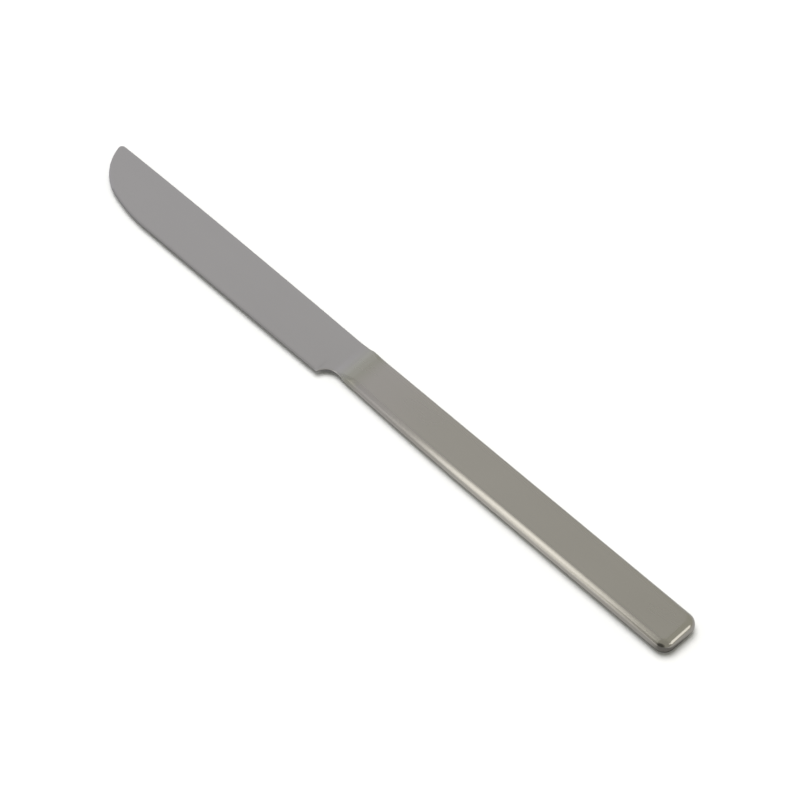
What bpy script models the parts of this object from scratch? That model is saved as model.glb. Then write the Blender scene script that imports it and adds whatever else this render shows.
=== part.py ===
"""Dessert knife with a hollow steel handle, as separate pieces at real size.

The knife lies on its back: tip towards -X, butt towards +X, spine towards +Y, cutting edge towards -Y. Every piece is
drawn about the knife's own mid-plane (Z = 0) and handle centre line (Y = 0). The root empty then tilts and lifts the
whole knife, so that the wedge-shaped handle lies flat on Z = 0 with the origin under the middle of the knife.
"""

import math

import bmesh
import bpy

MM = 0.001

# Whole knife
LENGTH = 190.0 * MM
HANDLE_LENGTH = 104.0 * MM

# Handle. Its soft edges reach in by the edge radius, and leave at least the seam's flat on each half's wall.
HANDLE_WIDTH_FRONT = 11.28 * MM
HANDLE_WIDTH_BUTT = 11.64 * MM
HANDLE_THICK_FRONT = 3.46 * MM
HANDLE_THICK_BUTT = 4.34 * MM
EDGE_RADIUS = 1.95 * MM
SEAM_FLAT = 0.15 * MM
BUTT_CORNER_RADIUS = 3.0 * MM
UNDERSIDE_SWEEP_LENGTH = 50.0 * MM
UNDERSIDE_SWEEP_RISE = 0.95 * MM
SHELL_WALL = 0.5 * MM

# Ramp from the neck up to the handle, across the mouth, and the stretch where the soft edges grow out of the neck
RAMP_BEFORE_MOUTH = 3.1 * MM
RAMP_LENGTH = 5.8 * MM
SOFTENING_BEFORE_MOUTH = 3.0 * MM
SOFTENING_LENGTH = 7.5 * MM
UNDERSIDE_FLARE_LENGTH = 5.0 * MM

# Blade. Heights and depths are measured from the handle's centre line.
NECK_THICK = 1.9 * MM
TIP_THICK = 1.0 * MM
EDGE_THICK = 0.4 * MM
EDGE_DEPTH = 7.77 * MM
EDGE_RISE = 0.2 * MM
BELLY_RADIUS = 13.9 * MM
BELLY_RUN_RADIUS = 43.0 * MM
BELLY_TURN = 16.4
TIP_RADIUS = 1.0 * MM
SPINE_HEIGHT = 5.48 * MM
SPINE_CREST_FROM_TIP = 31.0 * MM
SPINE_DROP_TO_TIP = 0.24 * MM
SPINE_DROP_TO_NECK = 0.25 * MM
NECK_DEPTH = 4.62 * MM
NECK_LENGTH = 1.4 * MM
NOTCH_RADIUS = 4.0 * MM
HEEL_RADIUS = 0.4 * MM

# Tang, braze and filling. The tang starts this overlap inside the neck, and cut-off ends start with this margin.
TANG_LENGTH = 38.0 * MM
TANG_ROOT_WIDTH = 7.0 * MM
TANG_END_WIDTH = 4.6 * MM
TANG_END_RADIUS = 1.2 * MM
BRAZE_THICK = 0.3 * MM
FILLING_SETBACK = 12.0 * MM
TANG_OVERLAP = 0.4 * MM
CUT_MARGIN = 3.0 * MM

# Clearances
TANG_CLEARANCE = 0.18 * MM
TANG_GAP = 0.1 * MM
FILLING_GAP = 0.2 * MM
LEAST_EDGE_RADIUS = 0.05 * MM

# Fineness of the round stretches
ARC_STEPS = 8
SWEEP_STEPS = 10
RAMP_STEPS = 12
NECK_STEPS = 4
BEVEL_RINGS = 4
BLADE_CUTS_ALONG = 18
BLADE_CUTS_ACROSS = 10
SHARP_ANGLE = math.radians(30)
WELD_DISTANCE = 0.001 * MM
CUT_TOLERANCE = 0.0001 * MM

# Places that follow from the sizes
BUTT_X = LENGTH / 2
TIP_X = -LENGTH / 2
MOUTH_X = BUTT_X - HANDLE_LENGTH
SHOULDER_X = MOUTH_X - BRAZE_THICK
NOTCH_X = SHOULDER_X - NECK_LENGTH
RAMP_X = MOUTH_X - RAMP_BEFORE_MOUTH
SOFTENING_X = MOUTH_X - SOFTENING_BEFORE_MOUTH
SWEEP_END_X = NOTCH_X + UNDERSIDE_SWEEP_LENGTH
CORNER_X = BUTT_X - BUTT_CORNER_RADIUS
CREST_X = TIP_X + SPINE_CREST_FROM_TIP
HALF_AT_MOUTH = HANDLE_WIDTH_FRONT / 2
HALF_AT_BUTT = HANDLE_WIDTH_BUTT / 2
NECK_HIGH_Y = SPINE_HEIGHT - SPINE_DROP_TO_NECK
TANG_Y = (NECK_HIGH_Y - NECK_DEPTH) / 2
WEDGE_SLOPE = (HANDLE_THICK_BUTT - HANDLE_THICK_FRONT) / (2 * HANDLE_LENGTH)

# Base colours
BLADE_STEEL = (0.560, 0.545, 0.555)
HANDLE_STEEL = (0.520, 0.496, 0.458)
BRAZE_SILVER = (0.53, 0.505, 0.46)
CEMENT = (0.45, 0.43, 0.40)


def clear_scene():
    for obj in list(bpy.data.objects):
        bpy.data.objects.remove(obj, do_unlink=True)


def new_collection(name, hidden=False):
    collection = bpy.data.collections.new(name)
    collection.hide_render = hidden
    bpy.context.scene.collection.children.link(collection)
    return collection


def new_material(name, colour, roughness, metallic):
    material = bpy.data.materials.new(name)
    material.use_nodes = True
    shader = material.node_tree.nodes["Principled BSDF"]
    shader.inputs["Base Color"].default_value = (*colour, 1.0)
    shader.inputs["Roughness"].default_value = roughness
    shader.inputs["Metallic"].default_value = metallic
    material.diffuse_color = (*colour, 1.0)
    return material


def arc(centre, radius, start, end):
    """Points on a circle from one angle to another, in degrees, both ends included."""
    angles = [math.radians(start + (end - start) * i / ARC_STEPS) for i in range(ARC_STEPS + 1)]
    return [(centre[0] + radius * math.cos(a), centre[1] + radius * math.sin(a)) for a in angles]


def slab(outline, half_thick, bevel=0.0):
    """A flat bar with this plan outline, as a bmesh. The bevel rounds its long edges and grows it by its radius."""
    curve = bpy.data.curves.new("outline", "CURVE")
    curve.dimensions = "2D"
    curve.fill_mode = "BOTH"
    curve.extrude = half_thick - bevel
    curve.bevel_depth = bevel
    curve.bevel_resolution = BEVEL_RINGS
    spline = curve.splines.new("POLY")
    spline.points.add(len(outline) - 1)
    for point, (x, y) in zip(spline.points, outline):
        point.co = (x, y, 0.0, 1.0)
    spline.use_cyclic_u = True
    drawn = bpy.data.objects.new("outline", curve)
    bpy.context.scene.collection.objects.link(drawn)
    graph = bpy.context.evaluated_depsgraph_get()
    mesh = bpy.data.meshes.new_from_object(drawn.evaluated_get(graph))
    bpy.data.objects.remove(drawn, do_unlink=True)
    body = bmesh.new()
    body.from_mesh(mesh)
    bpy.data.meshes.remove(mesh)
    bmesh.ops.remove_doubles(body, verts=body.verts[:], dist=WELD_DISTANCE)
    return body


def cut(body, point, normal, keep_below=False):
    """Cuts the body's faces along a plane. keep_below drops what lies beyond it and closes the opening."""
    geometry = body.verts[:] + body.edges[:] + body.faces[:]
    bmesh.ops.bisect_plane(
        body, geom=geometry, dist=CUT_TOLERANCE, plane_co=point, plane_no=normal, clear_outer=keep_below
    )
    if keep_below:
        rim = [edge for edge in body.edges if edge.is_boundary]
        bmesh.ops.holes_fill(body, edges=rim)


def new_piece(name, body, collection, root, material=None):
    """An object made of the bmesh, parented to the root and shaded smooth between sharp edges."""
    bmesh.ops.recalc_face_normals(body, faces=body.faces[:])
    mesh = bpy.data.meshes.new(name)
    body.to_mesh(mesh)
    body.free()
    mesh.shade_smooth()
    mesh.set_sharp_from_angle(angle=SHARP_ANGLE)
    piece = bpy.data.objects.new(name, mesh)
    piece.parent = root
    collection.objects.link(piece)
    if material:
        mesh.materials.append(material)
    else:
        piece.hide_render = True
        piece.display_type = "WIRE"
    return piece


def add_boolean(piece, operation, other):
    modifier = piece.modifiers.new(f"{operation.lower()} {other.name}", "BOOLEAN")
    modifier.operation = operation
    modifier.solver = "EXACT"
    modifier.object = other


def smooth_step(share):
    share = min(max(share, 0.0), 1.0)
    return share * share * (3 - 2 * share)


def ramp_share(x):
    return smooth_step((x - RAMP_X) / RAMP_LENGTH)


def softness(x):
    """How far the soft edges have grown: 0 on the neck, 1 along the handle."""
    return smooth_step((x - SOFTENING_X) / SOFTENING_LENGTH)


def half_thick(x):
    """Half the thickness of neck and handle: the neck's own, then up the ramp to a straight wedge."""
    wedge = HANDLE_THICK_FRONT / 2 + WEDGE_SLOPE * (x - MOUTH_X)
    return NECK_THICK / 2 + (wedge - NECK_THICK / 2) * ramp_share(x)


def half_width(x):
    """Half the handle's full width, which grows evenly from the mouth to the butt's corners."""
    share = min(max((x - MOUTH_X) / (CORNER_X - MOUTH_X), 0.0), 1.0)
    return HALF_AT_MOUTH + (HALF_AT_BUTT - HALF_AT_MOUTH) * share


def high_y(x):
    """The spine side of neck and handle, which widens up the ramp."""
    return NECK_HIGH_Y + (half_width(x) - NECK_HIGH_Y) * ramp_share(x)


def low_y(x):
    """The underside of neck and handle: a flare from the notch, then a parabola down to the handle's full width."""
    share = max((SWEEP_END_X - x) / UNDERSIDE_SWEEP_LENGTH, 0.0)
    swept = UNDERSIDE_SWEEP_RISE * share**2 - half_width(x)
    narrowing = HALF_AT_MOUTH - UNDERSIDE_SWEEP_RISE - NECK_DEPTH
    return swept + narrowing * smooth_step((NOTCH_X + UNDERSIDE_FLARE_LENGTH - x) / UNDERSIDE_FLARE_LENGTH)


def spread(start, end, steps):
    """Evenly spaced places from start to end, both included."""
    return [start + (end - start) * i / steps for i in range(steps + 1)]


def edge_radius():
    """The radius of the handle's soft edges, which the half thickness at the butt limits."""
    return min(EDGE_RADIUS, HANDLE_THICK_BUTT / 2 - SEAM_FLAT)


def handle_front_x():
    return SHOULDER_X - CUT_MARGIN


def soft_end_x():
    """Where both the ramp and the growth of the soft edges have ended."""
    return max(RAMP_X + RAMP_LENGTH, SOFTENING_X + SOFTENING_LENGTH, NOTCH_X + UNDERSIDE_FLARE_LENGTH)


def handle_outline(inset):
    """The handle's plan outline, this far inside its surface, running past the braze by the cut margin."""
    radius = BUTT_CORNER_RADIUS - inset
    corner_y = HALF_AT_BUTT - BUTT_CORNER_RADIUS
    front = spread(handle_front_x(), soft_end_x(), RAMP_STEPS)
    sweep = spread(soft_end_x(), SWEEP_END_X, SWEEP_STEPS)
    points = [(x, high_y(x) - inset) for x in front]
    points += arc((CORNER_X, corner_y), radius, 90, 0)
    points += arc((CORNER_X, -corner_y), radius, 0, -90)
    points += [(x, low_y(x) + inset) for x in reversed(front[:-1] + sweep)]
    return points


def handle_form(inset):
    """The handle's solid form, this far inside its surface: a rounded bar drawn down to the wedge and the ramp.

    The bar's edges are quarter circles at the butt's thickness. They flatten with the thickness, and fade out towards
    the neck with the softness.
    """
    bevel = max(edge_radius() - inset, LEAST_EDGE_RADIUS)
    full = HANDLE_THICK_BUTT / 2 - inset
    body = slab(handle_outline(inset + bevel), full, bevel)
    for x in spread(handle_front_x(), soft_end_x(), RAMP_STEPS):
        cut(body, (x, 0, 0), (1, 0, 0))
    for vert in body.verts:
        drop_share = (1 - abs(vert.co.z) / full) * softness(vert.co.x)
        height = (half_thick(vert.co.x) - inset) * (1 - drop_share)
        vert.co.z = math.copysign(height, vert.co.z)
    return body


def shell_half(side):
    """One half of the handle's outer form, cut off square at the mouth and flat at the seam."""
    body = handle_form(0.0)
    cut(body, (MOUTH_X, 0, 0), (-1, 0, 0), keep_below=True)
    cut(body, (0, 0, 0), (0, 0, -side), keep_below=True)
    return body


def filling_body():
    body = handle_form(SHELL_WALL + FILLING_GAP)
    cut(body, (MOUTH_X + FILLING_SETBACK, 0, 0), (-1, 0, 0), keep_below=True)
    return body


def spine_y(x):
    """The spine: two parabolas that meet at its crest, then the ramp's widening."""
    if x < CREST_X:
        return SPINE_HEIGHT - SPINE_DROP_TO_TIP * ((CREST_X - x) / (CREST_X - TIP_X - TIP_RADIUS)) ** 2
    share = min((x - CREST_X) / (RAMP_X - CREST_X), 1.0)
    return SPINE_HEIGHT - SPINE_DROP_TO_NECK * share**2 + high_y(x) - NECK_HIGH_Y


def belly_points():
    """The rounded tip, then two belly arcs, each tangent to the one before, down to the lowest place of the edge."""
    tip_centre = (TIP_X + TIP_RADIUS, SPINE_HEIGHT - SPINE_DROP_TO_TIP - TIP_RADIUS)
    run_y = BELLY_RUN_RADIUS - EDGE_DEPTH
    step = BELLY_RUN_RADIUS - BELLY_RADIUS
    belly_y = run_y - step * math.cos(math.radians(BELLY_TURN))
    fall = (belly_y - tip_centre[1]) / (BELLY_RADIUS - TIP_RADIUS)
    belly_x = tip_centre[0] + math.sqrt(1 - fall**2) * (BELLY_RADIUS - TIP_RADIUS)
    run_x = belly_x + step * math.sin(math.radians(BELLY_TURN))
    joint_angle = 180 + math.degrees(math.asin(fall))
    points = arc(tip_centre, TIP_RADIUS, 90, 180)
    points += arc(tip_centre, TIP_RADIUS, 180, joint_angle)[1:]
    points += arc((belly_x, belly_y), BELLY_RADIUS, joint_angle, 270 - BELLY_TURN)[1:]
    points += arc((run_x, run_y), BELLY_RUN_RADIUS, 270 - BELLY_TURN, 270)[1:]
    return points


def heel_points():
    """The rounded heel and the notch behind it, as two arcs that touch."""
    notch = (NOTCH_X, -NECK_DEPTH - NOTCH_RADIUS)
    heel_y = EDGE_RISE + HEEL_RADIUS - EDGE_DEPTH
    reach = NOTCH_RADIUS + HEEL_RADIUS
    turn = math.asin((heel_y - notch[1]) / reach)
    heel = (NOTCH_X - reach * math.cos(turn), heel_y)
    touch_angle = math.degrees(turn)
    points = arc(heel, HEEL_RADIUS, 270, 360 - touch_angle)
    points += arc(notch, NOTCH_RADIUS, 180 - touch_angle, 90)[1:]
    return points


def blade_outline():
    """Spine, tip, belly, cutting edge, which rises a little to the heel, heel, notch, neck and shoulder."""
    belly = belly_points()
    heel = heel_points()
    run_x = belly[-1][0]
    heel_x = heel[0][0]
    neck = spread(RAMP_X, SHOULDER_X, NECK_STEPS)
    spine = spread(RAMP_X, CREST_X, ARC_STEPS)[1:] + spread(CREST_X, TIP_X + TIP_RADIUS, ARC_STEPS)[1:-1]
    points = [(x, spine_y(x)) for x in reversed(neck)]
    points += [(x, spine_y(x)) for x in spine]
    points += belly
    for x in spread(run_x, heel_x, ARC_STEPS)[1:-1]:
        points.append((x, EDGE_RISE * ((x - run_x) / (heel_x - run_x)) ** 2 - EDGE_DEPTH))
    points += heel
    points += [(x, low_y(x)) for x in spread(NOTCH_X, SHOULDER_X, NECK_STEPS)[1:]]
    return points


def blade_half_thick(x, y):
    """Half the blade's thickness. It thins evenly from the neck to the tip, and from the spine to the cutting edge.

    On the ramp it goes over to the thickness of neck and handle, whose soft edges start there.
    """
    along = min(max((RAMP_X - x) / (RAMP_X - TIP_X), 0.0), 1.0)
    full = (NECK_THICK + (TIP_THICK - NECK_THICK) * along) / 2
    across = min(max((y + EDGE_DEPTH) / (NECK_HIGH_Y + EDGE_DEPTH), 0.0), 1.0)
    ground = EDGE_THICK / 2 + (full - EDGE_THICK / 2) * across
    depth = min(high_y(x) - y, y - low_y(x))
    inside = 1 - min(max(depth / edge_radius(), 0.0), 1.0)
    wall_share = (HANDLE_THICK_BUTT / 2 - edge_radius()) / (HANDLE_THICK_BUTT / 2)
    drop_share = (1 - math.sqrt(1 - inside**2)) * (1 - wall_share) * softness(x)
    return ground + (half_thick(x) * (1 - drop_share) - ground) * ramp_share(x)


def blade_body():
    body = slab(blade_outline(), NECK_THICK / 2)
    for x in spread(TIP_X, SHOULDER_X, BLADE_CUTS_ALONG)[1:-1] + spread(RAMP_X, SHOULDER_X, NECK_STEPS)[:-1]:
        cut(body, (x, 0, 0), (1, 0, 0))
    for y in spread(-EDGE_DEPTH, SPINE_HEIGHT, BLADE_CUTS_ACROSS)[1:-1]:
        cut(body, (0, y, 0), (0, 1, 0))
    for vert in body.verts:
        vert.co.z = math.copysign(blade_half_thick(vert.co.x, vert.co.y), vert.co.z)
    return body


def tang_body(gap):
    """The tapered tang, grown by this gap. It starts inside the neck, which it is forged in one with."""
    start_x = SHOULDER_X - TANG_OVERLAP
    end_x = SHOULDER_X + TANG_LENGTH + gap
    root_half = TANG_ROOT_WIDTH / 2 + gap
    end_half = TANG_END_WIDTH / 2 + gap
    radius = TANG_END_RADIUS + gap
    points = [(start_x, TANG_Y - root_half)]
    points += arc((end_x - radius, TANG_Y - end_half + radius), radius, -90, 0)
    points += arc((end_x - radius, TANG_Y + end_half - radius), radius, 0, 90)
    points.append((start_x, TANG_Y + root_half))
    room = half_thick(MOUTH_X) - SHELL_WALL - TANG_CLEARANCE
    return slab(points, room + gap)


def braze_body():
    """A thin plate across the mouth, with the handle's own section there."""
    body = handle_form(0.0)
    cut(body, (SHOULDER_X, 0, 0), (-1, 0, 0), keep_below=True)
    cut(body, (MOUTH_X, 0, 0), (1, 0, 0), keep_below=True)
    return body


def new_root(collection):
    """The knife as a whole, tilted by half its wedge angle and lifted, so that the handle's back lies on Z = 0."""
    root = bpy.data.objects.new("knife", None)
    tilt = math.atan(WEDGE_SLOPE)
    half_at_middle = HANDLE_THICK_FRONT / 2 - WEDGE_SLOPE * MOUTH_X
    highest = max(HALF_AT_MOUTH, HALF_AT_BUTT, SPINE_HEIGHT)
    lowest = -max(HALF_AT_BUTT, EDGE_DEPTH)
    root.rotation_euler = (0, -tilt, 0)
    root.location = (0, -(highest + lowest) / 2, half_at_middle * math.cos(tilt))
    collection.objects.link(root)
    return root


def main():
    clear_scene()
    parts = new_collection("dessert_knife")
    cutters = new_collection("cutters", hidden=True)
    root = new_root(parts)
    blade_steel = new_material("blade_steel", BLADE_STEEL, roughness=0.38, metallic=1.0)
    handle_steel = new_material("handle_steel", HANDLE_STEEL, roughness=0.28, metallic=1.0)
    braze_silver = new_material("braze_silver", BRAZE_SILVER, roughness=0.3, metallic=1.0)
    cement = new_material("cement", CEMENT, roughness=0.9, metallic=0.0)

    cavity = new_piece("handle_cavity", handle_form(SHELL_WALL), cutters, root)
    tang = new_piece("tang", tang_body(0.0), cutters, root)
    tang_slot = new_piece("tang_slot", tang_body(TANG_GAP), cutters, root)

    blade = new_piece("blade", blade_body(), parts, root, blade_steel)
    add_boolean(blade, "UNION", tang)
    for name, side in (("front_shell", 1), ("back_shell", -1)):
        shell = new_piece(name, shell_half(side), parts, root, handle_steel)
        add_boolean(shell, "DIFFERENCE", cavity)
    mouth_braze = new_piece("mouth_braze", braze_body(), parts, root, braze_silver)
    add_boolean(mouth_braze, "DIFFERENCE", tang_slot)
    handle_filling = new_piece("handle_filling", filling_body(), parts, root, cement)
    add_boolean(handle_filling, "DIFFERENCE", tang_slot)


main()
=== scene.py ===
"""Looks of the dessert knife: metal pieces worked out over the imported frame, a pale floor and soft light.

Sizes of the knife are in millimetres in its own frame: the mid-plane of the knife is Z = 0, the handle's
centre line is Y = 0, the tip points to -X and the spine to +Y. place_in_frame() tilts, lifts and scales
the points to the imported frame. Camera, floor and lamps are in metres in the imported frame.
"""

import math

import bmesh
import bpy
import numpy as np
from mathutils import Matrix, Vector


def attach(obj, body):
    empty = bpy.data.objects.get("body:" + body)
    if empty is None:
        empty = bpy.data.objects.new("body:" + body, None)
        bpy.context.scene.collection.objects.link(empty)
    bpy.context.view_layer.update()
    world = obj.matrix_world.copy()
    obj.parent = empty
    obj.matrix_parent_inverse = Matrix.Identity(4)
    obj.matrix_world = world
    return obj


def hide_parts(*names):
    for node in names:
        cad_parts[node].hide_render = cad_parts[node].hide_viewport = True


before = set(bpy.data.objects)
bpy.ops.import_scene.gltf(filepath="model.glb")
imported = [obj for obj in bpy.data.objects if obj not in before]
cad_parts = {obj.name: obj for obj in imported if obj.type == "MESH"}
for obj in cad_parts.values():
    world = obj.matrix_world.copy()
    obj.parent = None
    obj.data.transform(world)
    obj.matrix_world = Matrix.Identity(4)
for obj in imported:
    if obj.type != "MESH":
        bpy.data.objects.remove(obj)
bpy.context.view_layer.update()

MM = 0.001

# Handle sizes
LENGTH = 190.0
HANDLE_LENGTH = 104.0
HANDLE_WIDTH_FRONT = 11.28
HANDLE_WIDTH_BUTT = 11.64
HANDLE_THICK_FRONT = 3.46
HANDLE_THICK_BUTT = 4.34
BUTT_CORNER_RADIUS = 3.0
SHELL_WALL = 0.5

# Soft edges of the handle: how far they reach in and how far they fall, as shares of the half thickness
EDGE_REACH = 1.0
EDGE_FALL = 0.92

# Where the soft edges grow out of the neck's small rounding, and over what length
SOFTEN_X = -12.0
SOFTEN_LENGTH = 7.5

# Ramp in thickness from the blade's neck up to the handle, half on the blade and half on the handle
RAMP_X = -12.1
RAMP_LENGTH = 5.8

# Widening of neck and handle: how far before the ramp the spine side starts, over what length the underside
# flares out from the notch, and where and how far it then sweeps down to the handle's full width
SPINE_FLARE_LEAD = 1.4
NECK_FLARE = 5.0
SWEEP_END_X = 39.3
SWEEP_RISE = 0.95

# Blade and tang sizes
NECK_THICK = 1.9
TIP_THICK = 1.0
EDGE_THICK = 0.4
BELLY_RADIUS = 13.9
BELLY_RUN_RADIUS = 43.0
BELLY_TURN = math.radians(16.4)
TIP_RADIUS = 1.0
SPINE_CREST_X = -64.0
SPINE_CREST_Y = 5.48
SPINE_DROP_TO_TIP = 0.24
SPINE_DROP_TO_NECK = 0.29
EDGE_LOW_Y = -7.77
EDGE_RISE = 0.2
NECK_LOW_Y = -4.62
NOTCH_RADIUS = 4.0
NOTCH_X = -10.7
HEEL_RADIUS = 0.4
TANG_LENGTH = 38.0
TANG_OVERLAP = 0.4
TANG_ROOT_WIDTH = 7.0
TANG_END_WIDTH = 4.6
TANG_END_RADIUS = 1.2
TANG_THICK = 1.4
TANG_GAP = 0.1
BRAZE_THICK = 0.3

# Rounding of the blade's borders: how far it reaches in, and how far it falls
SPINE_ROUND = (0.15, 0.15)
EDGE_ROUND = (0.8, 0.17)
NOTCH_ROUND = (0.2, 0.17)
NECK_ROUND = (0.5, 0.55)
TANG_ROUND = (0.1, 0.1)

# Lengths over which the rounding changes, behind the tip and before the shoulder
TIP_BLEND = 8.0
NECK_BLEND = 3.6

# Places that follow from the sizes
BUTT_X = LENGTH / 2
TIP_X = -LENGTH / 2
MOUTH_X = BUTT_X - HANDLE_LENGTH
SHOULDER_X = MOUTH_X - BRAZE_THICK
HALF_AT_MOUTH = HANDLE_WIDTH_FRONT / 2
HALF_AT_BUTT = HANDLE_WIDTH_BUTT / 2
CORNER_X = BUTT_X - BUTT_CORNER_RADIUS
NECK_HIGH_Y = SPINE_CREST_Y - SPINE_DROP_TO_NECK
TANG_Y = (NECK_HIGH_Y + NECK_LOW_Y) / 2
WEDGE_SLOPE = (HANDLE_THICK_BUTT - HANDLE_THICK_FRONT) / (2 * HANDLE_LENGTH)

TIP_CENTRE = (TIP_X + TIP_RADIUS, SPINE_CREST_Y - SPINE_DROP_TO_TIP - TIP_RADIUS)
RUN_Y = EDGE_LOW_Y + BELLY_RUN_RADIUS
BELLY_Y = RUN_Y - (BELLY_RUN_RADIUS - BELLY_RADIUS) * math.cos(BELLY_TURN)
BELLY_X = TIP_CENTRE[0] + math.sqrt((BELLY_RADIUS - TIP_RADIUS) ** 2 - (TIP_CENTRE[1] - BELLY_Y) ** 2)
BELLY_END_X = BELLY_X - BELLY_RADIUS * math.sin(BELLY_TURN)
RUN_X = BELLY_X + (BELLY_RUN_RADIUS - BELLY_RADIUS) * math.sin(BELLY_TURN)
TIP_END_X = TIP_CENTRE[0] - TIP_RADIUS * (BELLY_X - TIP_CENTRE[0]) / (BELLY_RADIUS - TIP_RADIUS)
NOTCH_Y = NECK_LOW_Y - NOTCH_RADIUS
HEEL_Y = EDGE_LOW_Y + EDGE_RISE + HEEL_RADIUS
HEEL_TURN = math.asin((HEEL_Y - NOTCH_Y) / (NOTCH_RADIUS + HEEL_RADIUS))
HEEL_X = NOTCH_X - (NOTCH_RADIUS + HEEL_RADIUS) * math.cos(HEEL_TURN)
HEEL_END_X = NOTCH_X - NOTCH_RADIUS * math.cos(HEEL_TURN)

# Radius that stands for a nearly straight stretch of a border, where only its direction counts
STRAIGHT_RADIUS = 1.0

# Fineness of the grids: rows over a rounding, over a face and down a wall
ROUND_ROWS = 6
FACE_ROWS = 16
WALL_ROWS = 4

# Fineness of the grids: places along each stretch of the blade and the tang
TIP_STATIONS = 15
BELLY_STATIONS = 31
RUN_STATIONS = 16
EDGE_STATIONS = 61
HEEL_STATIONS = 9
NOTCH_STATIONS = 21
NECK_STATIONS = 13
TANG_STATIONS = 12
TANG_END_STATIONS = 9

# Fineness of the grids: columns along each stretch of the handle
RAMP_COLUMNS = 13
SWEEP_COLUMNS = 61
STRAIGHT_COLUMNS = 41
CORNER_COLUMNS = 18
BUTT_COLUMNS = 6

# Where a mesh is shaded as a sharp edge, and how close two points are welded, in metres
SHARP_ANGLE = math.radians(35)
WELD_DISTANCE = 1e-7

# Tints that are full at the mouth and fade out along each piece: colour, and where it has faded out
BLADE_TINTS = [((0.90, 0.91, 0.83), -11.7)]
HANDLE_TINTS = [
    ((1.04, 1.035, 1.085), 23.0),
    ((0.83, 0.865, 0.77), -2.0),
    ((1.12, 1.118, 1.184), -7.4),
]

# Painted shade, which stands in for the shadowed floor that the steel reflects: the cutting edge gets this
# share of it, and the notch's wall all of it. On the wall it covers this many rows, and fades out over a
# length that starts just before the neck.
EDGE_SHADE_SHARE = 0.62
NOTCH_SHADE_ROWS = 2
NOTCH_SHADE_LEAD = 1.0
NOTCH_SHADE_FADE = 2.5

# Steel finish: how far grain, streaks and clouds change tone and roughness, and how they are drawn out
NOISE_MIDDLE = 0.5
GRAIN_TONE = 0.02
STREAK_TONE = 0.01
CLOUD_TONE = 0.6
TONE_SPAN = 0.06
STREAK_SHEEN = 0.005
CLOUD_SHEEN = 0.06
STREAK_STRETCH = 0.2
CLOUD_SCALE = (45.0, 90.0, 90.0)
GRAIN_BUMP = 0.3

# Braze finish
BRAZE_TONES = ((0.475, 0.468, 0.43), (0.531, 0.524, 0.484))
BRAZE_ROUGHNESS = 0.3
BRAZE_PIT_SHEEN = 0.1
BRAZE_PIT_SCALE = (9000.0, 9000.0, 9000.0)
BRAZE_CLOUD_SCALE = (700.0, 700.0, 700.0)
BRAZE_BUMP = 0.3
BRAZE_PIT_DEPTH = 1e-6

# Cement finish
CEMENT_TONES = ((0.36, 0.34, 0.31), (0.56, 0.54, 0.50))
CEMENT_SAND_TONE = 0.6
CEMENT_CLOUD_TONE = 0.4
CEMENT_ROUGHNESS = 0.8
CEMENT_SAND_SHEEN = 0.2
CEMENT_SAND_SCALE = (2500.0, 2500.0, 2500.0)
CEMENT_CLOUD_SCALE = (150.0, 150.0, 150.0)
CEMENT_BUMP = 0.5
CEMENT_SAND_DEPTH = 5e-5

# Sockets of the Mix node when it mixes colours
MIX_SHARE = 0
MIX_FIRST = 6
MIX_SECOND = 7
MIX_RESULT = 2

# Camera, matched to the photograph
CAMERA_AZIMUTH = math.radians(45.21)
CAMERA_ELEVATION = math.radians(56.438)
CAMERA_DISTANCE = 0.97535
CAMERA_TARGET = Vector((0.003925, 0.0025, 0.0))
CAMERA_LENS = 189.0
CAMERA_CLIP_START = 0.01
SENSOR_WIDTH = 36.0
CAMERA_BACK = Vector((
    math.sin(CAMERA_AZIMUTH) * math.cos(CAMERA_ELEVATION),
    -math.cos(CAMERA_AZIMUTH) * math.cos(CAMERA_ELEVATION),
    math.sin(CAMERA_ELEVATION),
))

# Floor: its colour for the camera, and its tones for the steel, with a pool of light and a wedge of shade
FLOOR_HALF = 3.0
FLOOR_Z = -0.00002
FLOOR_SEEN_COLOUR = (0.79, 0.79, 0.79)
FLOOR_TONE = 0.4
POOL_TONE = 0.85
POOL_CENTRE = (0.045, -0.045, 0.0)
POOL_RADIUS = 0.055
SHADE_TONE = 0.42
SHADE_START = (0.0955, -0.0025, 0.0)
SHADE_WAY = (0.42, -0.906, 0.0)
SHADE_ACROSS = (0.906, 0.42, 0.0)
SHADE_SPREAD = 0.6
SHADE_INNER = 0.002
SHADE_OUTER = 0.008

# Sky: its colour for the camera, a ramp from right to left, a fall to the near side, and a dark patch
SKY_SEEN_COLOUR = (1.0, 1.0, 1.0)
SKY_STOPS = [
    (0.0, (0.475, 0.475, 0.42)),
    (0.655, (0.475, 0.475, 0.42)),
    (0.735, (0.665, 0.665, 0.68)),
    (1.0, (0.675, 0.675, 0.69)),
]
SKY_FALL_FROM_Y = 0.3
SKY_FALL_TO_Y = -0.1
SKY_NEAR_LEVEL = 0.82
DARK_WAY = (0.251, -0.937, 0.242)
DARK_OUTER = math.radians(38)
DARK_INNER = math.radians(19)
DARK_LEVEL = 0.22

# Lamp that gives the floor its shadow
KEY_WAY = Vector((-0.21, 0.07, 0.965))
KEY_SPREAD = math.radians(42)
KEY_STRENGTH = 2.7

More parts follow.
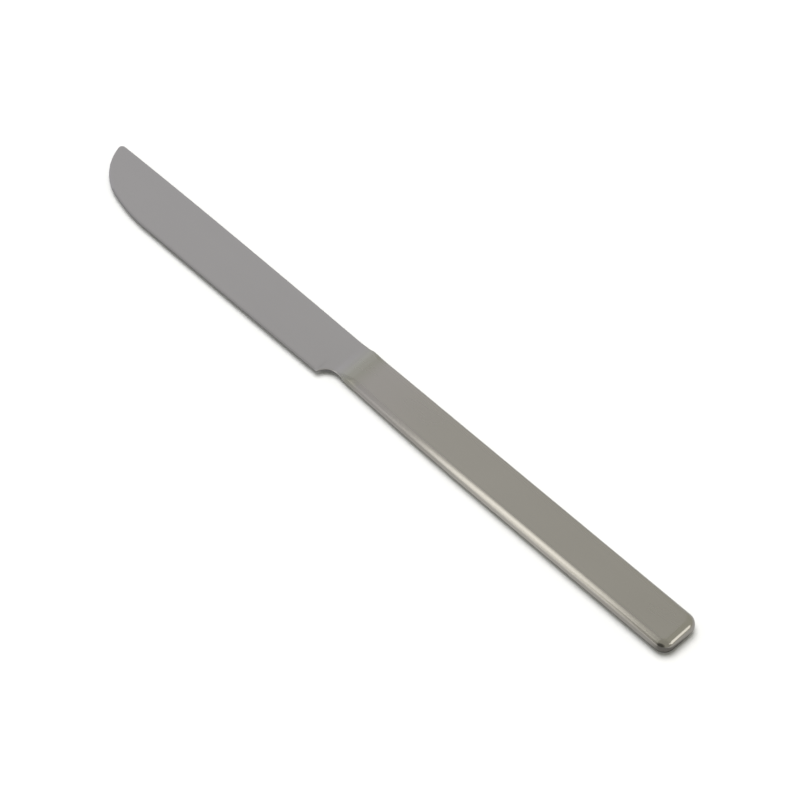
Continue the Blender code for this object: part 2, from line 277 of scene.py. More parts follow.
# Strip light on an arc over the handle. For each lamp: its first and last angle from the zenith in degrees,
# its left and right end along X, and its brightness. The fifth adds a little to the middle of the arc, and
# the last two are faint lamps over the butt and over the front of the handle.
STRIP_AIM = Vector((0.057, -0.004, 0.0))
STRIP_DISTANCE = 0.3045
STRIP_COLOUR = (1.0, 0.99, 0.95)
STRIP_LAMPS = [
    (2, 14, -0.085, -0.022, 0.4),
    (14, 28, -0.088, -0.022, 0.85),
    (28, 42, -0.095, -0.022, 1.0),
    (42, 56, -0.101, -0.022, 1.0),
    (28, 56, -0.066, -0.044, 0.14),
    (56, 72, -0.103, -0.028, 0.88),
    (72, 89, -0.103, -0.018, 0.72),
    (42, 62, -0.024, -0.002, 0.24),
    (60, 88, -0.127, -0.103, 0.2),
]

# Softboxes to the right, which light the rounding of the butt: place, size and brightness
BUTT_AIM = (0.09, 0.0, 0.0)
BUTT_COLOUR = (1.0, 0.99, 0.96)
BUTT_SOFTBOXES = {
    "right_softbox": ((0.589, 0.218, 0.252), (0.3, 0.2), 0.95),
    "corner_softbox": ((0.595, 0.06, 0.318), (0.11, 0.18), 0.9),
}


def ease(share):
    """Smooth step: 3s^2 - 2s^3 with s kept between 0 and 1."""
    s = np.clip(share, 0.0, 1.0)
    return s * s * (3 - 2 * s)


def place_in_frame(points):
    """Turns by half the wedge angle about Y, so that the handle's back lies flat, then lifts and centres.

    The back comes to lie at Z = 0, and the middle of the width at Y = 0.
    """
    tilt = math.atan(WEDGE_SLOPE)
    lift = (HANDLE_THICK_FRONT / 2 - WEDGE_SLOPE * MOUTH_X) * math.cos(tilt)
    x, y, z = np.moveaxis(points, -1, 0)
    placed = (
        x * math.cos(tilt) - z * math.sin(tilt),
        y - (HALF_AT_BUTT + EDGE_LOW_Y) / 2,
        x * math.sin(tilt) + z * math.cos(tilt) + lift,
    )
    return np.stack(placed, axis=-1) * MM


def grid_faces(index):
    """One quad between each two neighbouring rows and columns of a grid of point numbers."""
    corners = (index[:-1, :-1], index[1:, :-1], index[1:, 1:], index[:-1, 1:])
    return np.stack(corners, axis=-1).reshape(-1, 4)


def metal_piece(name, points, faces, material, tones):
    """Makes a mesh of points and quads and hands it to the frame.

    Welds seams and poles, turns the faces outward, and keeps the tones as values on the points.
    """
    mesh = bpy.data.meshes.new(name)
    mesh.from_pydata(place_in_frame(points).reshape(-1, 3), [], faces)
    for tone, values in tones.items():
        layer = mesh.attributes.new(tone, "FLOAT", "POINT")
        layer.data.foreach_set("value", np.ascontiguousarray(values, np.float32).ravel())
    body = bmesh.new()
    body.from_mesh(mesh)
    bmesh.ops.remove_doubles(body, verts=body.verts[:], dist=WELD_DISTANCE)
    bmesh.ops.recalc_face_normals(body, faces=body.faces[:])
    body.to_mesh(mesh)
    body.free()
    mesh.shade_smooth()
    mesh.set_sharp_from_angle(angle=SHARP_ANGLE)
    mesh.materials.append(material)
    piece = bpy.data.objects.new(name + "_finished", mesh)
    bpy.context.scene.collection.objects.link(piece)
    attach(piece, "root")
    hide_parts(name)


def ramp_share(x):
    """0 on the blade's plane, 1 on the handle, a smooth step along the ramp between them."""
    return ease((x - RAMP_X) / RAMP_LENGTH)


def body_half_thick(x):
    """Half thickness of neck and handle: the neck's own, then up the ramp to a straight wedge."""
    wedge = HANDLE_THICK_FRONT / 2 + WEDGE_SLOPE * (x - MOUTH_X)
    return NECK_THICK / 2 + (wedge - NECK_THICK / 2) * ramp_share(x)


def handle_half_width(x):
    """Half the handle's full width, which grows evenly from the mouth to the butt's corners."""
    share = np.clip((x - MOUTH_X) / (CORNER_X - MOUTH_X), 0.0, 1.0)
    return HALF_AT_MOUTH + (HALF_AT_BUTT - HALF_AT_MOUTH) * share


def body_high_y(x):
    """The spine side of neck and handle, which widens by a smooth step that starts before the ramp."""
    return NECK_HIGH_Y + (handle_half_width(x) - NECK_HIGH_Y) * ramp_share(x + SPINE_FLARE_LEAD)


def body_low_y(x):
    """The underside of neck and handle: a smooth flare from the notch, added to a parabola.

    The parabola falls to the handle's full width, which it meets at the end of the sweep.
    """
    share = np.clip((SWEEP_END_X - x) / (SWEEP_END_X - NOTCH_X), 0.0, None)
    swept = SWEEP_RISE * share**2 - handle_half_width(x)
    narrowing = NECK_LOW_Y - SWEEP_RISE + HALF_AT_MOUTH
    return swept + narrowing * ease((NOTCH_X + NECK_FLARE - x) / NECK_FLARE)


def blended(first, second, share):
    """Reach and fall of a rounding that changes from the first pair to the second, one pair per station."""
    return np.asarray(first) + (np.asarray(second) - np.asarray(first)) * share[:, None]


def body_round(x):
    """Reach and fall of the soft edges of neck and handle, one pair per place.

    They run by a smooth step from the neck's rounding to shares of the half thickness.
    """
    soft = body_half_thick(x)[:, None] * (EDGE_REACH, EDGE_FALL)
    return blended(NECK_ROUND, soft, ease((x - SOFTEN_X) / SOFTEN_LENGTH))


# Blade

def blade_stations():
    """Places along the blade, close together round the tip, the belly, the heel and the notch."""
    tip_turn = np.linspace(0, np.pi / 2, TIP_STATIONS)
    belly_start = math.acos((BELLY_X - TIP_CENTRE[0]) / BELLY_RADIUS)
    belly_turn = np.linspace(belly_start, np.pi / 2 - BELLY_TURN, BELLY_STATIONS)
    run_turn = np.linspace(BELLY_TURN, 0, RUN_STATIONS)
    heel_turn = np.linspace(0, np.pi / 2 - HEEL_TURN, HEEL_STATIONS)
    notch_turn = np.linspace(HEEL_TURN, np.pi / 2, NOTCH_STATIONS)
    stretches = (
        TIP_CENTRE[0] - TIP_RADIUS * np.cos(tip_turn),
        BELLY_X - BELLY_RADIUS * np.cos(belly_turn[1:]),
        RUN_X - BELLY_RUN_RADIUS * np.sin(run_turn[1:]),
        np.linspace(RUN_X, HEEL_X, EDGE_STATIONS)[1:],
        HEEL_X + HEEL_RADIUS * np.sin(heel_turn[1:]),
        NOTCH_X - NOTCH_RADIUS * np.cos(notch_turn[1:]),
        np.linspace(NOTCH_X, SHOULDER_X, NECK_STATIONS)[1:],
    )
    return np.concatenate(stretches)


def arc_rail(x, centre_x, centre_y, radius):
    """Points on an arc at y = centre_y - sign * sqrt(r^2 - (x - centre_x)^2), and the way into the blade."""
    rise = np.sqrt(np.maximum(radius**2 - (x - centre_x) ** 2, 0.0))
    y = centre_y - np.sign(radius) * rise
    inward = np.stack([(centre_x - x) / radius, (centre_y - y) / radius], axis=-1)
    return np.stack([x, y], axis=-1), inward


def low_rail(x):
    """The blade's lower border: tip arc, two belly arcs, cutting edge, rounded heel, notch and neck.

    The cutting edge is a parabola that rises a little to the heel. A nearly straight stretch counts as an
    arc whose centre lies straight above each point. The notch is hollow, so its radius counts as negative.
    """
    edge_y = EDGE_LOW_Y + EDGE_RISE * np.clip((x - RUN_X) / (HEEL_X - RUN_X), 0.0, 1.0) ** 2
    limits = [x < TIP_END_X, x < BELLY_END_X, x < RUN_X, x < HEEL_X, x < HEEL_END_X, x < NOTCH_X]
    centre_x = np.select(limits, [TIP_CENTRE[0], BELLY_X, RUN_X, x, HEEL_X, NOTCH_X], x)
    heights = [TIP_CENTRE[1], BELLY_Y, RUN_Y, edge_y + STRAIGHT_RADIUS, HEEL_Y, NOTCH_Y]
    centre_y = np.select(limits, heights, body_low_y(x) + STRAIGHT_RADIUS)
    radii = [TIP_RADIUS, BELLY_RADIUS, BELLY_RUN_RADIUS, STRAIGHT_RADIUS, HEEL_RADIUS, -NOTCH_RADIUS]
    return arc_rail(x, centre_x, centre_y, np.select(limits, radii, STRAIGHT_RADIUS))


def high_rail(x):
    """The blade's upper border: tip arc, a spine of two parabolas that meet at its crest, then the ramp."""
    tip, tip_inward = arc_rail(x, TIP_CENTRE[0], TIP_CENTRE[1], -TIP_RADIUS)
    ahead = x < SPINE_CREST_X
    drop = np.where(ahead, SPINE_DROP_TO_TIP, SPINE_DROP_TO_NECK)
    run = np.where(ahead, TIP_CENTRE[0] - SPINE_CREST_X, RAMP_X - SPINE_CREST_X)
    share = np.clip((x - SPINE_CREST_X) / run, 0.0, 1.0)
    slope = -2 * drop * share / run
    widening = body_high_y(x) - NECK_HIGH_Y
    spine = np.stack([x, SPINE_CREST_Y - drop * share**2 + widening], axis=-1)
    spine_inward = np.stack([slope, -np.ones_like(x)], axis=-1) / np.sqrt(1 + slope**2)[:, None]
    on_tip = (x < TIP_CENTRE[0])[:, None]
    return np.where(on_tip, tip, spine), np.where(on_tip, -tip_inward, spine_inward)


def tang_rails():
    """Upper and lower borders of the tang: a straight taper from the shoulder, round corners, a flat end."""
    end_x = SHOULDER_X + TANG_LENGTH
    corner_x = end_x - TANG_END_RADIUS
    taper_x = np.linspace(SHOULDER_X, corner_x, TANG_STATIONS)
    share = (taper_x - SHOULDER_X + TANG_OVERLAP) / (corner_x - SHOULDER_X + TANG_OVERLAP)
    half = (TANG_ROOT_WIDTH + (TANG_END_WIDTH - TANG_ROOT_WIDTH) * share) / 2
    turn = np.linspace(0, np.pi / 2, TANG_END_STATIONS)[1:]
    x = np.concatenate([taper_x, corner_x + TANG_END_RADIUS * np.sin(turn), [end_x]])
    inner_half = TANG_END_WIDTH / 2 - TANG_END_RADIUS
    half = np.concatenate([half, inner_half + TANG_END_RADIUS * np.cos(turn), [0.0]])
    lean_x = np.concatenate([np.zeros(TANG_STATIONS), -np.sin(turn), [-1.0]])
    lean_y = np.concatenate([np.ones(TANG_STATIONS), np.cos(turn), [0.0]])
    high = np.stack([x, TANG_Y + half], axis=-1), np.stack([lean_x, -lean_y], axis=-1)
    low = np.stack([x, TANG_Y - half], axis=-1), np.stack([lean_x, lean_y], axis=-1)
    return high, low


def blade_half_thick(x, y):
    """Half thickness: thins evenly from neck to tip and from spine to edge.

    On the ramp it goes over to the half thickness of neck and handle.
    """
    along = np.clip((RAMP_X - x) / (RAMP_X - TIP_X), 0.0, 1.0)
    full = (NECK_THICK + (TIP_THICK - NECK_THICK) * along) / 2
    across = np.clip((y - EDGE_LOW_Y) / (NECK_HIGH_Y - EDGE_LOW_Y), 0.0, 1.0)
    ground = EDGE_THICK / 2 + (full - EDGE_THICK / 2) * across
    return ground + (body_half_thick(x) - ground) * ramp_share(x)


def ring_of_sections(high, low, high_round, low_round, half_of):
    """Carries a closed section along two border rails, and gives its points as (station, row).

    At angle a from a border, a row lies reach * (1 - cos a) inside it and fall * (1 - sin a) under the full
    half thickness. Between the two roundings the rows run straight across. The back repeats the front at -Z.
    """
    angles = np.linspace(0, np.pi / 2, ROUND_ROWS + 1)
    inset = (1 - np.cos(angles))[None, :, None]
    top_rows = high[0][:, None] + high[1][:, None] * inset * high_round[:, None, :1]
    low_rows = low[0][:, None] + low[1][:, None] * inset * low_round[:, None, :1]
    share = np.linspace(0, 1, FACE_ROWS + 1)[None, 1:-1, None]
    middle = top_rows[:, -1:] * (1 - share) + low_rows[:, -1:] * share
    plan = np.concatenate([top_rows, middle, low_rows[:, ::-1]], axis=1)
    drop_top = high_round[:, 1:] * (1 - np.sin(angles))
    drop_low = low_round[:, 1:] * (1 - np.sin(angles))[::-1]
    drop = np.concatenate([drop_top, np.zeros(middle.shape[:2]), drop_low], axis=1)
    height = half_of(plan[..., 0], plan[..., 1]) - drop
    front = np.concatenate([plan, height[..., None]], axis=-1)
    back = front[:, ::-1] * (1, 1, -1)
    return np.concatenate([front, back], axis=1)


def closed_ring_faces(points):
    """Quads over a grid whose rows run round a ring."""
    index = np.arange(points.shape[0] * points.shape[1]).reshape(points.shape[:2])
    return grid_faces(np.concatenate([index, index[:, :1]], axis=1))


def blade_points():
    """The blade's sections from the tip to the shoulder, then those of the tang, as one closed skin."""
    x = blade_stations()
    near_tip = ease((x - TIP_X) / TIP_BLEND)
    in_notch = ease((x - HEEL_X) / HEEL_RADIUS)
    near_mouth = ease((x - SHOULDER_X + NECK_BLEND) / NECK_BLEND)
    high_round = blended(SPINE_ROUND, body_round(x), near_mouth)
    low_round = blended(SPINE_ROUND, EDGE_ROUND, near_tip)
    low_round = blended(low_round, NOTCH_ROUND, in_notch)
    low_round = blended(low_round, body_round(x), near_mouth)
    blade = ring_of_sections(high_rail(x), low_rail(x), high_round, low_round, blade_half_thick)
    high, low = tang_rails()
    tang_round = np.tile(TANG_ROUND, (len(high[0]), 1))
    tang = ring_of_sections(high, low, tang_round, tang_round, lambda x, y: np.full_like(x, TANG_THICK / 2))
    return np.concatenate([blade, tang], axis=0)


def braze_points():
    """Rings round the braze: its outline at both faces, the tang's slot at both, then the first again."""
    ends = np.array([SHOULDER_X, MOUTH_X])
    zero = np.zeros(2)
    down = np.stack([zero, zero - 1], axis=-1)
    up = np.stack([zero, zero + 1], axis=-1)
    high = np.stack([ends, body_high_y(ends)], axis=-1), down
    low = np.stack([ends, body_low_y(ends)], axis=-1), up
    outer = ring_of_sections(high, low, body_round(ends), body_round(ends), lambda x, y: body_half_thick(x))
    slot_half = TANG_ROOT_WIDTH / 2 + TANG_GAP
    slot_high = np.stack([ends, zero + TANG_Y + slot_half], axis=-1), down
    slot_low = np.stack([ends, zero + TANG_Y - slot_half], axis=-1), up
    slot_round = np.tile(TANG_ROUND, (2, 1))
    thick = TANG_THICK / 2 + TANG_GAP
    slot = ring_of_sections(slot_high, slot_low, slot_round, slot_round, lambda x, y: np.full_like(x, thick))
    return np.concatenate([outer, slot[::-1], outer[:1]], axis=0)


# Handle

def handle_columns():
    """Columns round the handle's plan: spine side, butt corner, butt, corner, and back along the underside.

    Gives each column's place on the rim and the way outward there, and the place on the centre line where
    it starts. A corner is a quarter circle.
    """
    ramp_end = RAMP_X + RAMP_LENGTH
    corner_y = HALF_AT_BUTT - BUTT_CORNER_RADIUS
    side_x = np.concatenate([
        np.linspace(MOUTH_X, ramp_end, RAMP_COLUMNS),
        np.linspace(ramp_end, SWEEP_END_X, SWEEP_COLUMNS)[1:],
        np.linspace(SWEEP_END_X, CORNER_X, STRAIGHT_COLUMNS)[1:],
    ])
    side = np.ones_like(side_x)
    turn = np.linspace(np.pi / 2, -np.pi / 2, 2 * CORNER_COLUMNS + 1)[1:-1]
    butt = np.concatenate([
        np.full(CORNER_COLUMNS - 1, corner_y),
        np.linspace(corner_y, -corner_y, BUTT_COLUMNS + 1),
        np.full(CORNER_COLUMNS - 1, -corner_y),
    ])
    turn = np.concatenate([turn[: CORNER_COLUMNS - 1], np.zeros(BUTT_COLUMNS + 1), turn[CORNER_COLUMNS:]])
    butt_x = CORNER_X + BUTT_CORNER_RADIUS * np.cos(turn)
    butt_y = butt + BUTT_CORNER_RADIUS * np.sin(turn)
    rim_x = np.concatenate([side_x, butt_x, side_x[::-1]])
    rim_y = np.concatenate([body_high_y(side_x), butt_y, body_low_y(side_x[::-1])])
    out_x = np.concatenate([side * 0, np.cos(turn), side * 0])
    out_y = np.concatenate([side, np.sin(turn), -side])
    start_x = np.minimum(rim_x, CORNER_X)
    rim = np.stack([rim_x, rim_y], axis=-1)
    outward = np.stack([out_x, out_y], axis=-1)
    return rim, outward, start_x


def handle_skin(side, inset):
    """One half of the handle's surface, this far inside it, as (column, row, xyz) from centre line to seam.

    Rows run flat from the centre line to the soft edge, over the edge as a quarter ellipse, then down the
    wall. At angle a on the edge, a point lies reach * (1 - sin a) inside the rim and fall * (1 - cos a)
    under the flat.
    """
    rim, outward, start_x = handle_columns()
    half = body_half_thick(start_x)
    reach, fall = (body_round(start_x) - inset).T
    turn = np.linspace(0, np.pi / 2, 2 * ROUND_ROWS + 1)
    inside = inset + reach[:, None] * (1 - np.sin(turn))
    rounded = rim[:, None] - outward[:, None] * inside[..., None]
    middle = np.stack([start_x, np.zeros_like(start_x)], axis=-1)[:, None]
    share = np.linspace(0, 1, FACE_ROWS // 2 + 1)[None, :-1, None]
    flat = middle * (1 - share) + rounded[:, :1] * share
    wall = np.repeat(rounded[:, -1:], WALL_ROWS, axis=1)
    plan = np.concatenate([flat, rounded, wall], axis=1)
    no_drop = np.zeros((len(half), flat.shape[1]))
    drop = np.concatenate([no_drop, fall[:, None] * (1 - np.cos(turn))], axis=1)
    top = body_half_thick(plan[..., 0]) - inset
    height = top[:, : drop.shape[1]] - drop
    wall_share = np.linspace(1, 0, WALL_ROWS + 1)[1:]
    height = np.concatenate([height, height[:, -1:] * wall_share], axis=1)
    return np.concatenate([plan, side * height[..., None]], axis=-1)


def shell_points(side):
    """Outer skin from the centre line to the seam, then the inner skin from the seam to the centre line."""
    outer = handle_skin(side, 0.0)
    inner = handle_skin(side, SHELL_WALL)
    return np.concatenate([outer, inner[:, ::-1]], axis=1)


def shell_faces(points):
    """Quads over the skins and the seam rim, and over the two rims at the mouth, from outer to inner rows."""
    columns, rows = points.shape[:2]
    index = np.arange(columns * rows).reshape(columns, rows)
    ends = index[[0, -1]]
    rims = [grid_faces(np.stack([end[: rows // 2], end[::-1][: rows // 2]])) for end in ends]
    return np.concatenate([grid_faces(index), *rims])


# Finishes

class Wire:
    """One output of a node tree. Operators on wires and numbers add Math nodes."""

    def __init__(self, tree, socket=None):
        self.tree = tree
        self.socket = socket

    def node(self, kind, settings=None, inputs=None, output=0):
        """Adds a node of this kind, makes its settings, sets or links its inputs, gives the chosen output."""
        made = self.tree.nodes.new(kind)
        for key, value in (settings or {}).items():
            setattr(made, key, value)
        for key, value in (inputs or {}).items():
            if isinstance(value, Wire):
                self.tree.links.new(value.socket, made.inputs[key])
            else:
                made.inputs[key].default_value = value
        return Wire(self.tree, made.outputs[output] if made.outputs else None)

    def math(self, operation, first, second):
        """The result of one Math node."""
        return self.node("ShaderNodeMath", {"operation": operation}, {0: first, 1: second})

    def __add__(self, other):
        return self.math("ADD", self, other)

    __radd__ = __add__

    def __sub__(self, other):
        return self.math("SUBTRACT", self, other)

    def __rsub__(self, other):
        return self.math("SUBTRACT", other, self)

    def __mul__(self, other):
        return self.math("MULTIPLY", self, other)

    __rmul__ = __mul__

    def limited(self):
        """This wire's value, kept between 0 and 1."""
        return self.node("ShaderNodeClamp", {}, {"Value": self})

    def smooth(self, start, end, at_start, at_end):
        """A smooth step by this wire's value, from one level at the start to another at the end."""
        return self.node(
            "ShaderNodeMapRange",
            {"interpolation_type": "SMOOTHSTEP"},
            {0: self, 1: start, 2: end, 3: at_start, 4: at_end},
        )

    def dot(self, way):
        """How far this wire's vector runs along a way."""
        return self.node(
            "ShaderNodeVectorMath", {"operation": "DOT_PRODUCT"}, {0: self, 1: way}, output="Value"
        )

    def mixed(self, first, second, kind="MIX"):
        """A colour between two colours, or with MULTIPLY the first one tinted, by this wire's value."""
        return self.node(
            "ShaderNodeMix",
            {"data_type": "RGBA", "blend_type": kind},
            {MIX_SHARE: self, MIX_FIRST: first, MIX_SECOND: second},
            output=MIX_RESULT,
        )

    def blend(self, low, high):
        """A colour between two plain colours, by this wire's value."""
        return self.mixed((*low, 1.0), (*high, 1.0))

    def tinted(self, colour, tint):
        """The colour multiplied by a plain tint, by this wire's value."""
        return self.mixed(colour, (*tint, 1.0), "MULTIPLY")

    def colour_ramp(self, stops):
        """A colour that runs through the stops, by this wire's value."""
        made = self.node("ShaderNodeValToRGB", {}, {0: self})
        ramp = made.socket.node.color_ramp.elements
        for stop in stops[2:]:
            ramp.new(stop[0])
        for element, (place, colour) in zip(ramp, stops):
            element.position = place
            element.color = (*colour, 1.0)
        return made

    def stretched_noise(self, place, scale, detail):
        """Noise that is drawn out by a different scale along each axis."""
        drawn = self.node("ShaderNodeVectorMath", {"operation": "MULTIPLY"}, {0: place, 1: scale})
        return self.node("ShaderNodeTexNoise", {}, {"Vector": drawn, "Scale": 1.0, "Detail": detail})

    def bumped(self, strength, depth):
        """A surface direction that this wire's value bumps, to a depth in metres."""
        return self.node("ShaderNodeBump", {}, {"Height": self, "Strength": strength, "Distance": depth})

    def unless_seen(self, plain):
        """This wire's colour for all rays but those of the camera, which see a plain colour."""
        seen = self.node("ShaderNodeLightPath", output="Is Camera Ray")
        return seen.mixed(self, (*plain, 1.0))


def new_material(name):
    """An empty material, and a first wire to build its nodes from."""
    material = bpy.data.materials.new(name)
    material.use_nodes = True
    tree = material.node_tree
    tree.nodes.clear()
    return material, Wire(tree)


def finish_material(start, colour, roughness, normal, metallic):
    """Ends a material with one shader and its output."""
    shader = start.node(
        "ShaderNodeBsdfPrincipled",
        {},
        {"Base Color": colour, "Roughness": roughness, "Normal": normal, "Metallic": metallic},
    )
    start.node("ShaderNodeOutputMaterial", {}, {"Surface": shader})


def satin_steel(name, colour, roughness, polish, grain_scale, grain_depth, tints, dark):
    """Brushed steel: fine grain along the knife, faint clouds, and rims that rubbing has polished.

    Tone is a half plus small shares of grain, streaks and clouds, each counted from its middle, and the
    colour runs with it from a little darker to a little lighter. Roughness changes with streaks and clouds,
    and falls to the polish on the rims. Tints are full at the mouth of the handle, where brazing left them,
    and fade out along the knife. Dark is the colour of a painted shade along the cutting edge and on the
    notch's wall, which stands in for the shadowed floor that they reflect. The handle has no such shade.
    """
    material, start = new_material(name)
    place = start.node("ShaderNodeTexCoord", output="Object")
    grain = start.stretched_noise(place, grain_scale, detail=2.0)
    streaks = start.stretched_noise(place, tuple(s * STREAK_STRETCH for s in grain_scale), detail=3.0)
    clouds = start.stretched_noise(place, CLOUD_SCALE, detail=2.0)
    rim = start.node("ShaderNodeAttribute", {"attribute_name": "rim"}, output="Fac")
    from_streaks = streaks - NOISE_MIDDLE
    from_clouds = clouds - NOISE_MIDDLE
    tone = NOISE_MIDDLE + (grain - NOISE_MIDDLE) * GRAIN_TONE
    tone = (tone + from_streaks * STREAK_TONE + from_clouds * CLOUD_TONE).limited()
    base = tone.blend(
        tuple(c * (1 - TONE_SPAN) for c in colour),
        tuple(c * (1 + TONE_SPAN) for c in colour),
    )
    along = start.node("ShaderNodeSeparateXYZ", {}, {0: place}, output="X")
    for tint, end_x in tints:
        base = along.smooth(end_x * MM, MOUTH_X * MM, 0.0, 1.0).tinted(base, tint)
    # Painted shade along the cutting edge and on the notch's wall: a value on the mesh darkens the colour
    # towards dark
    painted_shade = start.node("ShaderNodeAttribute", {"attribute_name": "painted_shade"}, output="Fac")
    base = painted_shade.tinted(base, dark)
    sheen = roughness + from_streaks * STREAK_SHEEN + from_clouds * CLOUD_SHEEN - rim * (roughness - polish)
    finish_material(start, base, sheen, grain.bumped(GRAIN_BUMP, grain_depth), 1.0)
    return material


def braze_metal():
    """Silver braze: warm, finely pitted, dressed flush with the steel.

    The colour runs between two tones with broad noise, and roughness changes a little with the pits.
    """
    material, start = new_material("braze_silver")
    place = start.node("ShaderNodeTexCoord", output="Object")
    pits = start.stretched_noise(place, BRAZE_PIT_SCALE, detail=3.0)
    clouds = start.stretched_noise(place, BRAZE_CLOUD_SCALE, detail=2.0)
    base = clouds.blend(*BRAZE_TONES)
    sheen = BRAZE_ROUGHNESS + (pits - NOISE_MIDDLE) * BRAZE_PIT_SHEEN
    finish_material(start, base, sheen, pits.bumped(BRAZE_BUMP, BRAZE_PIT_DEPTH), 1.0)
    return material


def cement_fill():
    """Pale cement with sand grains and small pores.

    The colour runs between two tones with a sum of fine and broad noise, and roughness grows with the sand.
    """
    material, start = new_material("cement")
    place = start.node("ShaderNodeTexCoord", output="Object")
    sand = start.stretched_noise(place, CEMENT_SAND_SCALE, detail=4.0)
    clouds = start.stretched_noise(place, CEMENT_CLOUD_SCALE, detail=3.0)
    tone = (sand * CEMENT_SAND_TONE + clouds * CEMENT_CLOUD_TONE).limited()
    base = tone.blend(*CEMENT_TONES)
    sheen = CEMENT_ROUGHNESS + sand * CEMENT_SAND_SHEEN
    finish_material(start, base, sheen, sand.bumped(CEMENT_BUMP, CEMENT_SAND_DEPTH), 0.0)
    return material


blade_steel = satin_steel(
    name="blade_steel",
    colour=(0.560, 0.545, 0.555),
    roughness=0.38,
    polish=0.25,
    grain_scale=(400.0, 12000.0, 12000.0),
    grain_depth=1e-7,
    tints=BLADE_TINTS,
    # Colour of the painted shade on the cutting edge and the notch's wall
    dark=(0.45, 0.45, 0.45),
)
handle_steel = satin_steel(
    name="handle_steel",
    colour=(0.520, 0.496, 0.458),
    roughness=0.28,
    polish=0.14,
    grain_scale=(250.0, 12000.0, 12000.0),
    grain_depth=1e-8,
    tints=HANDLE_TINTS,
    dark=(1.0, 1.0, 1.0),
)


# Pieces

def rim_of_blade(points):
    """How much a point belongs to a rubbed border: 1 on the borders, fading to 0 a little way inside."""
    rows = points.shape[1] // 2
    row = np.arange(rows)
    from_border = np.minimum(row, rows - 1 - row)
    share = np.clip(1 - from_border / ROUND_ROWS, 0.0, 1.0)
    return np.tile(np.concatenate([share, share[::-1]]), (points.shape[0], 1))


def painted_shade_share(points):
    """Share of the painted shade, which fades out over the rounding of the cutting edge, from belly to heel.

    On the wall of the notch it is 1, and fades out along the neck. The shade stands in for the shadowed floor
    that these faces reflect.
    """
    rows = points.shape[1] // 2
    from_edge = rows - 1 - np.arange(rows)
    edge = EDGE_SHADE_SHARE * (1 - ease(from_edge / ROUND_ROWS))
    wall = 1 - ease(from_edge / NOTCH_SHADE_ROWS)
    along = points[..., 0]
    before_heel = (along < HEEL_X) & (along > TIP_X + TIP_BLEND)
    in_notch = (along >= HEEL_X) * (1 - ease((along - NOTCH_X + NOTCH_SHADE_LEAD) / NOTCH_SHADE_FADE))
    both_sides = [np.concatenate([share, share[::-1]]) for share in (edge, wall)]
    return both_sides[0] * before_heel + both_sides[1] * in_notch


def rim_of_shell(points):
    """0 on the flat and on the inner skin, growing to 1 halfway over the soft edge, and 1 down the wall."""
    rows = points.shape[1] // 2
    flat_rows = FACE_ROWS // 2
    row = np.arange(rows)
    share = ease((row - flat_rows) / ROUND_ROWS)
    return np.tile(np.concatenate([share, np.zeros(rows)]), (points.shape[0], 1))


def make_blade():
    """The blade with its tang, with rubbed borders, and a painted shade on its cutting edge and the notch's
    wall.
    """
    points = blade_points()
    tones = {"rim": rim_of_blade(points), "painted_shade": painted_shade_share(points)}
    metal_piece("blade", points, closed_ring_faces(points), blade_steel, tones)


def make_braze():
    """The braze between the blade's shoulder and the mouth of the handle."""
    points = braze_points()
    metal_piece("mouth_braze", points, closed_ring_faces(points), braze_metal(), {})


def make_shell(name, side):
    """One half of the handle, with rubbed edges: side 1 faces up and side -1 lies below."""
    points = shell_points(side)
    tones = {"rim": rim_of_shell(points)}
    metal_piece(name, points, shell_faces(points), handle_steel, tones)


make_blade()
make_braze()
make_shell("front_shell", 1)
make_shell("back_shell", -1)

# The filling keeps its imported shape
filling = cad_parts["handle_filling"]
filling.data.materials.clear()
filling.data.materials.append(cement_fill())


# Floor and light

def make_floor():
    """A pale sheet just under the knife, which the camera sees as white.

    The steel sees it darker, with a pool of light on the near side of the handle and a wedge of shade that
    opens from the butt towards the near side.
    """
    material, start = new_material("pale_floor")
    place = start.node("ShaderNodeTexCoord", output="Object")
    away = start.node(
        "ShaderNodeVectorMath", {"operation": "DISTANCE"}, {0: place, 1: POOL_CENTRE}, output="Value"
    )
    pool = away.smooth(0.0, POOL_RADIUS, POOL_TONE, FLOOR_TONE)
    reach = start.node("ShaderNodeVectorMath", {"operation": "SUBTRACT"}, {0: place, 1: SHADE_START})
    ahead = reach.dot(SHADE_WAY)
    across = reach.dot(SHADE_ACROSS)
    beside = start.math("ABSOLUTE", across, 0.0) - ahead * SHADE_SPREAD
    outside = start.math("MAXIMUM", beside, 0.0 - ahead)
    shade = outside.smooth(SHADE_INNER, SHADE_OUTER, SHADE_TONE, 1.0)
    colour = (pool * shade).unless_seen(FLOOR_SEEN_COLOUR)
    sheet = start.node("ShaderNodeBsdfDiffuse", {}, {"Color": colour})
    start.node("ShaderNodeOutputMaterial", {}, {"Surface": sheet})
    mesh = bpy.data.meshes.new("floor")
    corners = np.array([[-1, -1, 0], [1, -1, 0], [1, 1, 0], [-1, 1, 0]]) * FLOOR_HALF
    corners = corners + (0, 0, FLOOR_Z)
    mesh.from_pydata(corners.tolist(), [], [(0, 1, 2, 3)])
    mesh.materials.append(material)
    floor = bpy.data.objects.new("floor", mesh)
    bpy.context.scene.collection.objects.link(floor)


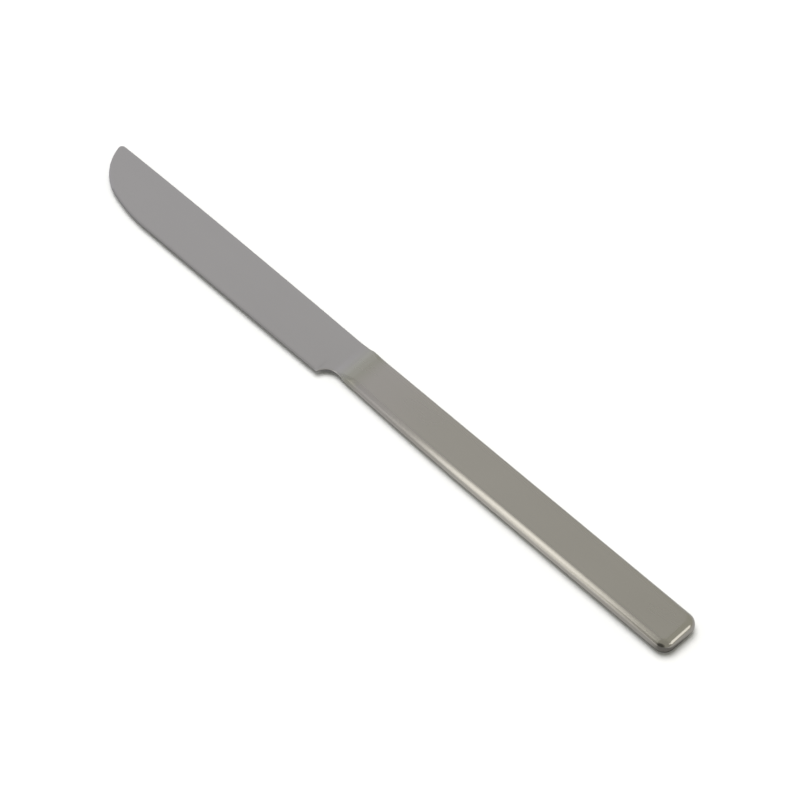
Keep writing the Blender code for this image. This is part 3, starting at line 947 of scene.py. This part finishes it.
def make_sky():
    """A grey room with a dark patch low on the near side, where the camera sees plain white.

    It is brighter to the left, and falls a little towards the near side.
    """
    world = bpy.data.worlds.new("studio")
    bpy.context.scene.world = world
    world.use_nodes = True
    world.node_tree.nodes.clear()
    start = Wire(world.node_tree)
    way = start.node("ShaderNodeTexCoord", output="Generated")
    right = start.node("ShaderNodeSeparateXYZ", {}, {0: way}, output="X")
    far = start.node("ShaderNodeSeparateXYZ", {}, {0: way}, output="Y")
    left_share = 0.5 - right * 0.5
    shade = left_share.colour_ramp(SKY_STOPS)
    fall = far.smooth(SKY_FALL_TO_Y, SKY_FALL_FROM_Y, SKY_NEAR_LEVEL, 1.0)
    dark = way.dot(DARK_WAY).smooth(math.cos(DARK_OUTER), math.cos(DARK_INNER), 1.0, DARK_LEVEL)
    room = start.node("ShaderNodeVectorMath", {"operation": "SCALE"}, {0: shade, "Scale": dark * fall})
    colour = room.unless_seen(SKY_SEEN_COLOUR)
    light = start.node("ShaderNodeBackground", {}, {"Color": colour, "Strength": 1.0})
    start.node("ShaderNodeOutputWorld", {}, {"Surface": light})


def make_key_lamp():
    """A lamp high over the knife and a little to the left, which gives the floor its shadow.

    It doesn't show in the steel.
    """
    lamp = bpy.data.lights.new("key_lamp", "SUN")
    lamp.energy = KEY_STRENGTH
    lamp.angle = KEY_SPREAD
    key = bpy.data.objects.new("key_lamp", lamp)
    key.rotation_euler = KEY_WAY.to_track_quat("Z", "Y").to_euler()
    key.visible_glossy = False
    bpy.context.scene.collection.objects.link(key)


def make_softbox(name, place, aim, size, brightness, colour):
    """A rectangle lamp turned towards the aim, one side along X. Brightness 1 is as bright as white."""
    lamp = bpy.data.lights.new(name, "AREA")
    lamp.shape = "RECTANGLE"
    lamp.size = size[0]
    lamp.size_y = size[1]
    lamp.energy = brightness * math.pi * size[0] * size[1]
    lamp.color = colour
    away = (Vector(place) - Vector(aim)).normalized()
    side = Vector((1, 0, 0))
    side = (side - away * side.dot(away)).normalized()
    box = bpy.data.objects.new(name, lamp)
    box.location = place
    box.rotation_euler = Matrix((side, away.cross(side), away)).transposed().to_euler()
    box.visible_camera = False
    bpy.context.scene.collection.objects.link(box)


def make_strip():
    """A row of lamps on an arc that leans left over the handle, from near the zenith down to the floor."""
    for number, (start, end, left, right, brightness) in enumerate(STRIP_LAMPS):
        lean_x = ((left + right) / 2 - STRIP_AIM.x) / STRIP_DISTANCE
        across = math.sqrt(1 - lean_x**2)
        middle = math.radians((start + end) / 2)
        way = Vector((lean_x, -across * math.sin(middle), across * math.cos(middle)))
        size = (right - left, STRIP_DISTANCE * math.radians(end - start))
        place = STRIP_AIM + way * STRIP_DISTANCE
        make_softbox(f"strip_lamp_{number}", place, STRIP_AIM, size, brightness, STRIP_COLOUR)


def make_camera():
    """The camera at the photograph's angle."""
    data = bpy.data.cameras.new("photo_camera")
    data.lens = CAMERA_LENS
    data.sensor_width = SENSOR_WIDTH
    data.clip_start = CAMERA_CLIP_START
    camera = bpy.data.objects.new("photo_camera", data)
    camera.location = CAMERA_TARGET + CAMERA_BACK * CAMERA_DISTANCE
    camera.rotation_euler = CAMERA_BACK.to_track_quat("Z", "Y").to_euler()
    bpy.context.scene.collection.objects.link(camera)
    bpy.context.scene.camera = camera


make_floor()
make_sky()
make_key_lamp()
make_strip()
for name, (place, size, brightness) in BUTT_SOFTBOXES.items():
    make_softbox(name, place, BUTT_AIM, size, brightness, BUTT_COLOUR)
make_camera()
bpy.context.scene.view_settings.view_transform = "Standard"
